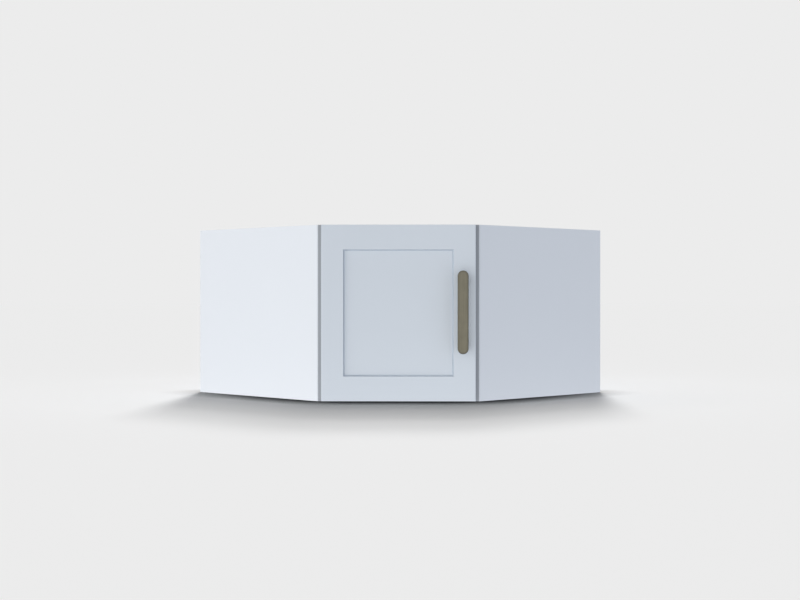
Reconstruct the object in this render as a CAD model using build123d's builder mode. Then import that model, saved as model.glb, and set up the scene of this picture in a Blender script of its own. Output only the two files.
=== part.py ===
from build123d import *
import os
from math import sqrt

# Diagonal corner wall cabinet. Millimetres, +Z up. The door faces -Y, the room corner is
# on the +Y side, and the origin is at the middle of the underside of the whole object.

os.makedirs("parts", exist_ok=True)

# ---------------------------------------------------------------- carcass sizes
wall_length = 800.0        # along each wall, from the room corner to an end panel's outside
end_depth = 502.0          # of an end panel, square to its wall, to its front corner
carcass_height = 457.0
board = 18.0               # thickness of the ends, top and bottom
shelf_board = 18.0
back_board = 16.0          # thickness of the panels along the walls
band = 1.0                 # thickness of the edge banding

shelf_height = 219.5       # from the underside of the cabinet to the shelf's underside
shelf_setback = 24.0       # from the diagonal front to the shelf's front edge
shelf_play = 1.0           # round the shelf

# ---------------------------------------------------------------- door sizes
door_thickness = 20.0
door_side = 11.7           # from each side of the diagonal front to the door's edge
door_bottom = 1.5          # door's lower edge above the underside of the cabinet
door_top = 0.5             # door's upper edge below the top of the cabinet
door_gap = 2.0             # between the door's back and the carcass front
stile_width = 57.0
rail_width = 64.0
recess = 5.5               # from the door's face down to the centre panel's field
quirk = 2.5                # width and depth of the narrow groove round the field
tongue = 6.0               # thickness of the panel's and the rails' tongues
groove_depth = 10.0
tongue_length = 9.0
joint_play = 0.05          # each side of a tongue in its groove
edge_radius = 1.0          # on the door's outer edges

# ---------------------------------------------------------------- handle sizes
grip_length = 214.0
grip_width = 28.0
grip_thickness = 8.0
grip_edge_radius = 2.2
grip_stand_off = 20.0      # clear space between the grip and the door's face
grip_inset = 33.2          # from the door's right edge to the grip's centre line
grip_rise = 2.0            # of the grip's middle above the door's middle
post_spacing = 160.0
post_diameter = 11.0
post_foot_diameter = 15.0
post_foot_height = 3.0
handle_screw_diameter = 4.0
handle_screw_play = 0.4    # round the screw's shank in the stile
handle_screw_bite = 10.0   # length of the screw in its post
handle_screw_head_diameter = 8.0
handle_screw_head_height = 2.4

bumper_diameter = 8.0
bumper_height = 1.7
bumper_inset = 14.0        # from the door's top and bottom edges

# ---------------------------------------------------------------- fittings in the boards
wall_screw_bore = 7.0
wall_screw_drop = 62.0     # of the wall-screw bores below the top of the cabinet
wall_screw_near = 170.0    # from the room corner
wall_screw_far = 640.0

pin_diameter = 5.0
pin_depth = 9.0            # of a shelf pin's stem in its hole
pin_hole_depth = 10.0
pin_reach = 8.0            # of a shelf pin under the shelf
pin_collar_diameter = 7.5
pin_collar = 0.8
pin_flat = 1.0             # cut off the top of the pin where the shelf rests
pin_setback_front = 37.0
pin_setback_back = 60.0
pin_from_corner = 130.0
pin_pitch = 32.0
pin_rows = 5

cam_diameter = 15.0
cam_pocket = 13.0          # depth of the pocket
cam_height = 12.5
cam_reach = 34.0           # from an end panel's inside to a cam's axis
cam_mouth = 7.4            # square opening that takes the bolt's head
cam_past_axis = 3.0        # of the mouth beyond the cam's axis
cam_cross = 7.0            # span and width and depth of the screwdriver cross
cam_cross_width = 1.4
cam_cross_depth = 2.0
cam_setback_back = 70.0
cam_setback_front = 60.0
bolt_thread_diameter = 5.0
bolt_thread_length = 11.0
bolt_collar_diameter = 7.0
bolt_collar_length = 22.0
bolt_neck_diameter = 4.0
bolt_head_diameter = 6.4
bolt_head_length = 4.0
bolt_bore_play = 0.25      # round the collar, radially

dowel_diameter = 8.0
dowel_in_end = 11.0
dowel_in_board = 19.0
dowel_gap = 1.0            # beyond a dowel's end in its hole
dowel_from_cam = 40.0
dowel_inset = 55.0         # of the back panels' dowels from top and underside

back_screw_diameter = 4.0
back_screw_length = 40.0
back_screw_head_diameter = 8.0
back_screw_side = 90.0     # of the outermost back screws from the end panels
back_screw_inner = 136.0   # of the innermost ones from the room corner

# ---------------------------------------------------------------- hinge sizes
hinge_inset = 75.0         # of the hinges from the door's top and bottom edges
cup_edge = 5.0             # wood left between the cup and the door's edge
cup_diameter = 35.0
cup_depth = 11.5
cup_wall = 1.5
cup_floor = 0.8
flange = 1.0
flange_diameter = 38.0
flange_cut = 7.0           # from the cup's centre to the flange's straight side
ear_offset = 5.5           # of the cup screws towards the middle of the door
ear_spacing = 48.0
ear_diameter = 13.0
cup_screw_diameter = 3.5
cup_screw_length = 13.0
cup_screw_head_diameter = 7.0
cup_screw_head_height = 1.6
fit_play = 0.05            # round pressed and seated round parts, radially
pivot_play = 0.05          # between a turning link's eye and its rivet, radially

# Pivots of the four-bar linkage, closed, from the cup's centre on the door's back:
# x towards the middle of the door, y into the cabinet.
outer_at_arm = (11.4, -0.6)
outer_at_cup = (-9.4, -1.5)
outer_sag = (0.0, -2.7)        # the outer link's curved centre line passes here
inner_at_cup = (-12.0, -7.2)
inner_at_arm = (10.6, 5.7)
inner_sag = (-5.3, -8.7)       # the inner link's curved centre line passes here
slot_from = (10.6, 5.85)       # ends of the slot that gives the inner link's arm rivet room
slot_to = (14.0, 6.8)
slot_width = 3.0
slot_wall = 1.3                # metal round the slot
outer_rivet_diameter = 2.5
inner_rivet_diameter = 2.0
outer_link_width = 4.4
inner_link_width = 3.4
inner_boss_diameter = 4.8
inner_half = 3.5               # half thickness of the inner link, along the rivets
layer_gap = 0.3                # between neighbouring layers of the hinge
sheet = 1.5                    # thickness of the pressed steel of outer link and arm
crown = ((-2.6, -1.0), (0.0, 2.5), (5.5, 2.5), (9.4, 0.6))  # hump of the outer link's cheeks
crown_web = 1.4                # thickness of the web along the hump's top
crown_web_end = 4.0            # the web stops here, clear of the inner link's sweep

arm_nose = 2.6                 # radius round the outer link's arm rivet
arm_head_top = (14.0, 7.5)     # corners of the arm's head
arm_shoulder = (9.0, 14.0)
arm_throat = ((-3.5, 4.5), (6.5, 2.5))
arm_bend = 2.0                 # radius of the arm's corners
arm_run = 6.0                  # from the end panel's front inner corner to the straight part
arm_top = 13.5                 # height of the arm's web over the end panel
arm_foot = 3.0                 # clear of the end panel under the arm's cheeks
arm_foot_start = 10.0
arm_length = 66.0              # from the end panel's front inner corner to the arm's tail
plate_setback = 37.0           # of the mounting plate's screws from the same corner
plate_spacing = 32.0           # of the mounting plate's screws
plate_thickness = 2.5
plate_wing_width = 13.0
plate_wing_overhang = 8.0
plate_base_width = 17.0
plate_start = 24.0
plate_side_gap = 0.2           # between the plate's block and the arm's cheeks
plate_corner = 3.0
plate_screw_diameter = 5.0
plate_screw_length = 13.0
plate_screw_head_diameter = 8.6
arm_screw_setback = 53.0
side_screw_setback = 30.0
arm_screw_diameter = 5.0
arm_screw_head_diameter = 8.4
arm_screw_head_height = 2.0
arm_screw_bite = 8.0

# ---------------------------------------------------------------- derived places
root2 = sqrt(2)
grip_projection = grip_stand_off + grip_thickness
corner_to_front = (wall_length + end_depth) / root2
door_width = (wall_length - end_depth) * root2 - 2 * door_side
door_height = carcass_height - door_bottom - door_top
front_y = (door_gap + door_thickness + grip_projection - corner_to_front) / 2
corner_y = front_y + corner_to_front
door_back_y = front_y - door_gap
door_face_y = door_back_y - door_thickness
door_middle = door_bottom + door_height / 2
inside = wall_length - board
front_sum = wall_length + end_depth
core_sum = front_sum - band * root2
shelf_front_sum = front_sum - shelf_setback * root2
shelf_core_sum = shelf_front_sum - band * root2
panel_front = front_sum - inside
outer_from = inner_half + layer_gap
outer_to = outer_from + sheet
arm_from = outer_to + layer_gap
arm_to = arm_from + sheet
cup_x = -door_width / 2 + cup_edge + cup_diameter / 2
grip_x = door_width / 2 - grip_inset
hinges = (("lower", door_bottom + hinge_inset),
          ("upper", door_bottom + door_height - hinge_inset))

# Plan of the left wing: x out along the left wall, y out along the right wall.
plan = Plane(origin=(0, corner_y, 0), x_dir=(-1, -1, 0), z_dir=(0, 0, 1))
# Inside face of the left end panel: x out from the wall, y up, facing into the panel.
end_face = Plane(origin=plan.from_local_coords((inside, 0, 0)), x_dir=(1, -1, 0),
                 z_dir=(-1, -1, 0))
# The left wall: x out from the room corner, y up, facing into the wall.
left_wall = Plane(origin=(0, corner_y, 0), x_dir=(-1, -1, 0), z_dir=(-1, 1, 0))
back_face = left_wall.offset(-back_board)
# The door's face: x to the right, y up from the middle of the door, facing out.
door_face = Plane(origin=(0, door_face_y, door_middle), x_dir=(1, 0, 0), z_dir=(0, -1, 0))
door_back = door_face.offset(-door_thickness)


def hinge_plan(z):
    """Plan of a hinge from its cup's centre on the door's back."""
    return Plane(origin=(cup_x, door_back_y, z))


def on_panel(run, height):
    """Hinge plan point this far back from the end panel's front corner and off its face."""
    corner = hinge_plan(0).to_local_coords(plan.from_local_coords((inside, panel_front, 0)))
    return (corner.X + (height - run) / root2, corner.Y + (height + run) / root2)


def finish(piece, label):
    """Name a piece and write it."""
    piece.label = label
    export_step(piece, f"parts/{label}.step")


# Places of the fittings, on the left half; the right half is its mirror image.
cam_v = (cam_setback_back, end_depth - cam_setback_front)
dowel_v = (cam_v[0] + dowel_from_cam, cam_v[1] - dowel_from_cam)
pin_v = (pin_setback_back, panel_front - pin_setback_front)
pin_z = shelf_height - (pin_diameter / 2 - pin_flat)
pin_rise = [pin_pitch * (row - (pin_rows - 1) / 2) for row in range(pin_rows)]
end_pins = [(v, pin_z) for v in pin_v]
back_pins = [(pin_from_corner, pin_z)]
board_z = (board / 2, carcass_height - board / 2)
cam_bolts_at = [(v, z) for v in cam_v for z in board_z]
board_dowels = [(v, z) for v in dowel_v for z in board_z]
joint_z = (dowel_inset, carcass_height / 2, carcass_height - dowel_inset)
back_dowels = [(back_board / 2, z) for z in joint_z]
wall_bores = [(u, carcass_height - wall_screw_drop) for u in (wall_screw_near, wall_screw_far)]
back_screws_at = [(u, z) for u in (back_screw_inner, inside - back_screw_side) for z in board_z]
corner_screws_at = [(back_board / 2, z) for z in joint_z]

# ================================================================ carcass boards
# Top and bottom boards: a pentagon between the ends and in front of the back panels, with
# pockets for the cams in its upper face and bores for bolts, dowels and screws in its edges.
for label, underside in (("bottom_board", 0.0), ("top_board", carcass_height - board)):
    with BuildPart() as pentagon:
        with BuildSketch(plan.offset(underside)):
            with BuildLine():
                Polyline((back_board, back_board), (inside, back_board),
                         (inside, core_sum - inside), (core_sum / 2, core_sum / 2), close=True)
            make_face()
        extrude(amount=board)
        with BuildSketch(plan.offset(underside + board)):
            with Locations(*[(inside - cam_reach, v) for v in cam_v]):
                Circle(cam_diameter / 2 + fit_play)
        extrude(amount=-cam_pocket, mode=Mode.SUBTRACT)
        with BuildSketch(end_face):
            with Locations(*[(v, underside + board / 2) for v in cam_v]):
                Circle(bolt_collar_diameter / 2 + bolt_bore_play)
        extrude(amount=-cam_reach, mode=Mode.SUBTRACT)
        with BuildSketch(end_face):
            with Locations(*[(v, underside + board / 2) for v in dowel_v]):
                Circle(dowel_diameter / 2)
        extrude(amount=-dowel_in_board - dowel_gap, mode=Mode.SUBTRACT)
        with BuildSketch(left_wall):
            with Locations(*[(u, underside + board / 2) for u, z in back_screws_at[::2]]):
                Circle(back_screw_diameter / 2 + fit_play)
        extrude(amount=-back_screw_length, mode=Mode.SUBTRACT)
        mirror(about=Plane.YZ)
    finish(pentagon.part, label)

# Edge bands of the top and bottom boards, along the diagonal front.
for label, underside in (("bottom_edge_band", 0.0), ("top_edge_band", carcass_height - board)):
    with BuildPart() as front_band:
        with BuildSketch(plan.offset(underside)):
            with BuildLine():
                Polyline((inside, core_sum - inside), (inside, panel_front),
                         (front_sum / 2, front_sum / 2), (core_sum / 2, core_sum / 2),
                         close=True)
            make_face()
        extrude(amount=board)
        mirror(about=Plane.YZ)
    finish(front_band.part, label)

# End panels: the front edge is cut at 45 degrees, flush with the diagonal front.
with BuildPart() as end_blank:
    with BuildSketch(plan):
        with BuildLine():
            Polyline((inside, 0), (wall_length, 0), (wall_length, core_sum - wall_length),
                     (inside, core_sum - inside), close=True)
        make_face()
    extrude(amount=carcass_height)
    with BuildSketch(end_face):
        with Locations(*[(v, z + rise) for v, z in end_pins for rise in pin_rise]):
            Circle(pin_diameter / 2)
    extrude(amount=pin_hole_depth, mode=Mode.SUBTRACT)
    with BuildSketch(end_face):
        with Locations(*cam_bolts_at):
            Circle(bolt_thread_diameter / 2)
    extrude(amount=bolt_thread_length, mode=Mode.SUBTRACT)
    with BuildSketch(end_face):
        with Locations(*board_dowels, *back_dowels):
            Circle(dowel_diameter / 2)
    extrude(amount=dowel_in_end + dowel_gap, mode=Mode.SUBTRACT)

plate_screws_at = [(panel_front - plate_setback, z + side * plate_spacing / 2)
                   for name, z in hinges for side in (-1, 1)]
with BuildPart() as left_end_panel:
    add(end_blank.part)
    with BuildSketch(end_face):
        with Locations(*plate_screws_at):
            Circle(plate_screw_diameter / 2)
    extrude(amount=plate_screw_length - plate_thickness, mode=Mode.SUBTRACT)
finish(left_end_panel.part, "left_end_panel")

with BuildPart() as right_end_panel:
    mirror(end_blank.part, about=Plane.YZ)
finish(right_end_panel.part, "right_end_panel")

with BuildPart() as left_end_edge_band:
    with BuildSketch(plan):
        with BuildLine():
            Polyline((wall_length, core_sum - wall_length), (wall_length, end_depth),
                     (inside, panel_front), (inside, core_sum - inside), close=True)
        make_face()
    extrude(amount=carcass_height)
finish(left_end_edge_band.part, "left_end_edge_band")

with BuildPart() as right_end_edge_band:
    mirror(left_end_edge_band.part, about=Plane.YZ)
finish(right_end_edge_band.part, "right_end_edge_band")

# Back panels: the left one runs into the room corner and the right one butts against it.
for label, start, extra in (("left_back_panel", 0.0, corner_screws_at),
                            ("right_back_panel", back_board, [])):
    with BuildPart() as back_panel:
        with BuildSketch(plan):
            with Locations((start, 0)):
                Rectangle(inside - start, back_board, align=(Align.MIN, Align.MIN))
        extrude(amount=carcass_height)
        with BuildSketch(left_wall):
            with Locations(*wall_bores):
                Circle(wall_screw_bore / 2)
        extrude(amount=-back_board, mode=Mode.SUBTRACT)
        with Locations(left_wall.location):
            with Locations(*back_screws_at, *extra):
                CounterSinkHole(back_screw_diameter / 2 + fit_play,
                                back_screw_head_diameter / 2, counter_sink_angle=90)
        with BuildSketch(back_face):
            with Locations(*[(u, z + rise) for u, z in back_pins for rise in pin_rise]):
                Circle(pin_diameter / 2)
        extrude(amount=pin_hole_depth, mode=Mode.SUBTRACT)
        with BuildSketch(end_face):
            with Locations(*back_dowels):
                Circle(dowel_diameter / 2)
        extrude(amount=-dowel_in_board - dowel_gap, mode=Mode.SUBTRACT)
    if label == "left_back_panel":
        finish(back_panel.part, label)
    else:
        with BuildPart() as right_back_panel:
            mirror(back_panel.part, about=Plane.YZ)
            with BuildSketch(left_wall):
                with Locations(*corner_screws_at):
                    Circle(back_screw_diameter / 2 + fit_play)
            extrude(amount=-back_screw_length, mode=Mode.SUBTRACT)
        finish(right_back_panel.part, label)

# Shelf: the same pentagon with play all round, and its own edge band.
with BuildPart() as shelf:
    near = back_board + shelf_play
    far = inside - shelf_play
    with BuildSketch(plan.offset(shelf_height)):
        with BuildLine():
            Polyline((near, near), (far, near), (far, shelf_core_sum - far),
                     (shelf_core_sum / 2, shelf_core_sum / 2), close=True)
        make_face()
    extrude(amount=shelf_board)
    mirror(about=Plane.YZ)
finish(shelf.part, "shelf")

with BuildPart() as shelf_edge_band:
    with BuildSketch(plan.offset(shelf_height)):
        with BuildLine():
            Polyline((far, shelf_core_sum - far), (far, shelf_front_sum - far),
                     (shelf_front_sum / 2, shelf_front_sum / 2),
                     (shelf_core_sum / 2, shelf_core_sum / 2), close=True)
        make_face()
    extrude(amount=shelf_board)
    mirror(about=Plane.YZ)
finish(shelf_edge_band.part, "shelf_edge_band")

# ================================================================ fittings in the boards
# Shelf pins: a stem in the board, a thin collar, and a reach with a flat for the shelf.
with BuildPart() as shelf_pins:
    for face, places in ((end_face, end_pins), (back_face, back_pins)):
        for diameter, length in ((pin_diameter, pin_depth), (pin_diameter, -pin_reach),
                                 (pin_collar_diameter, -pin_collar)):
            with BuildSketch(face):
                with Locations(*places):
                    Circle(diameter / 2)
            extrude(amount=length)
        with BuildSketch(face.offset(-pin_collar)):
            with Locations(*[(u, shelf_height) for u, z in places]):
                Rectangle(pin_collar_diameter, pin_diameter, align=(Align.CENTER, Align.MIN))
        extrude(amount=-pin_reach, mode=Mode.SUBTRACT)
    mirror(about=Plane.YZ)
finish(shelf_pins.part, "shelf_pins")

# Cam locks: a drum with a mouth for the bolt's head and a cross for the screwdriver.
with BuildPart() as cam_locks:
    for underside in (0.0, carcass_height - board):
        with BuildSketch(plan.offset(underside + board)):
            with Locations(*[(inside - cam_reach, v) for v in cam_v]):
                Circle(cam_diameter / 2)
        extrude(amount=-cam_height)
        with BuildSketch(end_face.offset(-cam_reach - cam_past_axis)):
            with Locations(*[(v, underside + board / 2) for v in cam_v]):
                Rectangle(cam_mouth, cam_mouth)
        extrude(amount=cam_past_axis + cam_diameter, mode=Mode.SUBTRACT)
        with BuildSketch(plan.offset(underside + board)):
            with Locations(*[(inside - cam_reach, v) for v in cam_v]):
                Rectangle(cam_cross, cam_cross_width)
                Rectangle(cam_cross_width, cam_cross)
        extrude(amount=-cam_cross_depth, mode=Mode.SUBTRACT)
    mirror(about=Plane.YZ)
finish(cam_locks.part, "cam_locks")

# Cam bolts: thread in the end panel, collar in the board, neck and head in the cam.
with BuildPart() as cam_bolts:
    for diameter, start, end in (
            (bolt_thread_diameter, -bolt_thread_length, 0.0),
            (bolt_collar_diameter, 0.0, bolt_collar_length),
            (bolt_neck_diameter, bolt_collar_length, cam_reach),
            (bolt_head_diameter, cam_reach + cam_past_axis - bolt_head_length - fit_play,
             cam_reach + cam_past_axis - fit_play)):
        with BuildSketch(end_face.offset(-start)):
            with Locations(*cam_bolts_at):
                Circle(diameter / 2)
        extrude(amount=start - end)
    mirror(about=Plane.YZ)
finish(cam_bolts.part, "cam_bolts")

with BuildPart() as dowels:
    with BuildSketch(end_face.offset(-dowel_in_board)):
        with Locations(*board_dowels, *back_dowels):
            Circle(dowel_diameter / 2)
    extrude(amount=dowel_in_board + dowel_in_end)
    mirror(about=Plane.YZ)
finish(dowels.part, "dowels")

# Countersunk screws through the back panels, hidden against the walls.
with BuildPart() as back_screws:
    with Locations(left_wall.location):
        with Locations(*back_screws_at):
            Cylinder(back_screw_diameter / 2, back_screw_length,
                     align=(Align.CENTER, Align.CENTER, Align.MAX))
            Cone(back_screw_diameter / 2, back_screw_head_diameter / 2,
                 (back_screw_head_diameter - back_screw_diameter) / 2,
                 align=(Align.CENTER, Align.CENTER, Align.MAX))
    mirror(about=Plane.YZ)
    with Locations(left_wall.location):
        with Locations(*corner_screws_at):
            Cylinder(back_screw_diameter / 2, back_screw_length,
                     align=(Align.CENTER, Align.CENTER, Align.MAX))
            Cone(back_screw_diameter / 2, back_screw_head_diameter / 2,
                 (back_screw_head_diameter - back_screw_diameter) / 2,
                 align=(Align.CENTER, Align.CENTER, Align.MAX))
finish(back_screws.part, "back_screws")

# ================================================================ door frame and panel
opening_width = door_width - 2 * stile_width
opening_height = door_height - 2 * rail_width
groove_from = recess + quirk - joint_play
groove_width = tongue + 2 * joint_play
cup_places = [(cup_x, z - door_middle) for name, z in hinges]
ear_places = [(cup_x + ear_offset, z - door_middle + side * ear_spacing / 2)
              for name, z in hinges for side in (-1, 1)]
post_places = [(grip_x, grip_rise + side * post_spacing / 2) for side in (-1, 1)]

# Stile: upright with rounded outer edges and a groove along its inner edge.
with BuildPart() as stile_blank:
    with BuildSketch(door_face):
        with Locations((-door_width / 2, 0)):
            Rectangle(stile_width, door_height, align=(Align.MIN, Align.CENTER))
    extrude(amount=-door_thickness)
    fillet(stile_blank.edges().filter_by(Axis.Z).group_by(Axis.X)[0], edge_radius)
    fillet(stile_blank.edges().filter_by(Axis.X).group_by(Axis.Z)[0], edge_radius)
    fillet(stile_blank.edges().filter_by(Axis.X).group_by(Axis.Z)[-1], edge_radius)
    with BuildSketch(door_face.offset(-groove_from)):
        with Locations((-opening_width / 2, 0)):
            Rectangle(groove_depth, door_height, align=(Align.MAX, Align.CENTER))
    extrude(amount=-groove_width, mode=Mode.SUBTRACT)

with BuildPart() as left_stile:
    add(stile_blank.part)
    with BuildSketch(door_back):
        with Locations(*cup_places):
            Circle(cup_diameter / 2 + fit_play)
    extrude(amount=cup_depth + fit_play, mode=Mode.SUBTRACT)
    with BuildSketch(door_back):
        with Locations(*ear_places):
            Circle(cup_screw_diameter / 2)
    extrude(amount=cup_screw_length - flange, mode=Mode.SUBTRACT)
finish(left_stile.part, "left_stile")

with BuildPart() as right_stile:
    mirror(stile_blank.part, about=Plane.YZ)
    with BuildSketch(door_back):
        with Locations(*post_places):
            Circle(handle_screw_diameter / 2 + handle_screw_play)
    extrude(amount=door_thickness, mode=Mode.SUBTRACT)
finish(right_stile.part, "right_stile")

# Rail: between the stiles, with tongues in their grooves and a groove for the panel.
with BuildPart() as top_rail:
    with BuildSketch(door_face):
        with Locations((0, opening_height / 2)):
            Rectangle(opening_width, rail_width, align=(Align.CENTER, Align.MIN))
    extrude(amount=-door_thickness)
    fillet(top_rail.edges().filter_by(Axis.X).group_by(Axis.Z)[-1], edge_radius)
    with BuildSketch(door_face.offset(-groove_from)):
        with Locations((0, opening_height / 2)):
            Rectangle(opening_width, groove_depth, align=(Align.CENTER, Align.MIN))
    extrude(amount=-groove_width, mode=Mode.SUBTRACT)
    with BuildSketch(door_face.offset(-recess - quirk)):
        with Locations((0, opening_height / 2 + groove_depth)):
            Rectangle(opening_width + 2 * tongue_length, rail_width - groove_depth,
                      align=(Align.CENTER, Align.MIN))
    extrude(amount=-tongue)
finish(top_rail.part, "top_rail")

with BuildPart() as bottom_rail:
    mirror(top_rail.part, about=Plane.XY.offset(door_middle))
finish(bottom_rail.part, "bottom_rail")

# Centre panel: a tongue all round in the frame's grooves and a raised field that stops
# short of the frame, so that a narrow quirk runs round it.
with BuildPart() as centre_panel:
    with BuildSketch(door_face.offset(-recess - quirk)):
        Rectangle(opening_width + 2 * tongue_length, opening_height + 2 * tongue_length)
    extrude(amount=-tongue)
    with BuildSketch(door_face.offset(-recess)):
        Rectangle(opening_width - 2 * quirk, opening_height - 2 * quirk)
    extrude(amount=-quirk)
finish(centre_panel.part, "centre_panel")

# ================================================================ handle and bumpers
with BuildPart() as handle_grip:
    with BuildSketch(door_face.offset(grip_projection)):
        with Locations((grip_x, grip_rise)):
            SlotOverall(grip_length, grip_width, rotation=90)
    extrude(amount=-grip_thickness)
    fillet(handle_grip.faces().sort_by(Axis.Y)[0].edges(), grip_edge_radius)
finish(handle_grip.part, "handle_grip")

with BuildPart() as handle_posts:
    with BuildSketch(door_face):
        with Locations(*post_places):
            Circle(post_diameter / 2)
    extrude(amount=grip_stand_off)
    with BuildSketch(door_face):
        with Locations(*post_places):
            Circle(post_foot_diameter / 2)
    extrude(amount=post_foot_height)
    with BuildSketch(door_face):
        with Locations(*post_places):
            Circle(handle_screw_diameter / 2 + fit_play)
    extrude(amount=handle_screw_bite, mode=Mode.SUBTRACT)
finish(handle_posts.part, "handle_posts")

with BuildPart() as handle_screws:
    with BuildSketch(door_back):
        with Locations(*post_places):
            Circle(handle_screw_diameter / 2)
    extrude(amount=door_thickness + handle_screw_bite)
    with BuildSketch(door_back):
        with Locations(*post_places):
            Circle(handle_screw_head_diameter / 2)
    extrude(amount=-handle_screw_head_height)
    fillet(handle_screws.faces().group_by(Axis.Y)[-1].edges(), handle_screw_head_height / 3)
finish(handle_screws.part, "handle_screws")

# Bumpers: on the door's back, half way between its edge and the opening of the carcass.
with BuildPart() as door_bumpers:
    opening_edge = (panel_front - inside) / root2
    with BuildSketch(door_back):
        with Locations(*[((door_width / 2 - opening_edge) / 2,
                          side * (door_height / 2 - bumper_inset)) for side in (-1, 1)]):
            Circle(bumper_diameter / 2)
    extrude(amount=-bumper_height)
    fillet(door_bumpers.faces().group_by(Axis.Y)[-1].edges(), bumper_height / 2)
finish(door_bumpers.part, "door_bumpers")

# ================================================================ hinges
outer_spine = ThreePointArc(outer_at_arm, outer_sag, outer_at_cup)
inner_spine = ThreePointArc(inner_at_cup, inner_sag, inner_at_arm)
slot_spine = Line(slot_from, slot_to)

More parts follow.
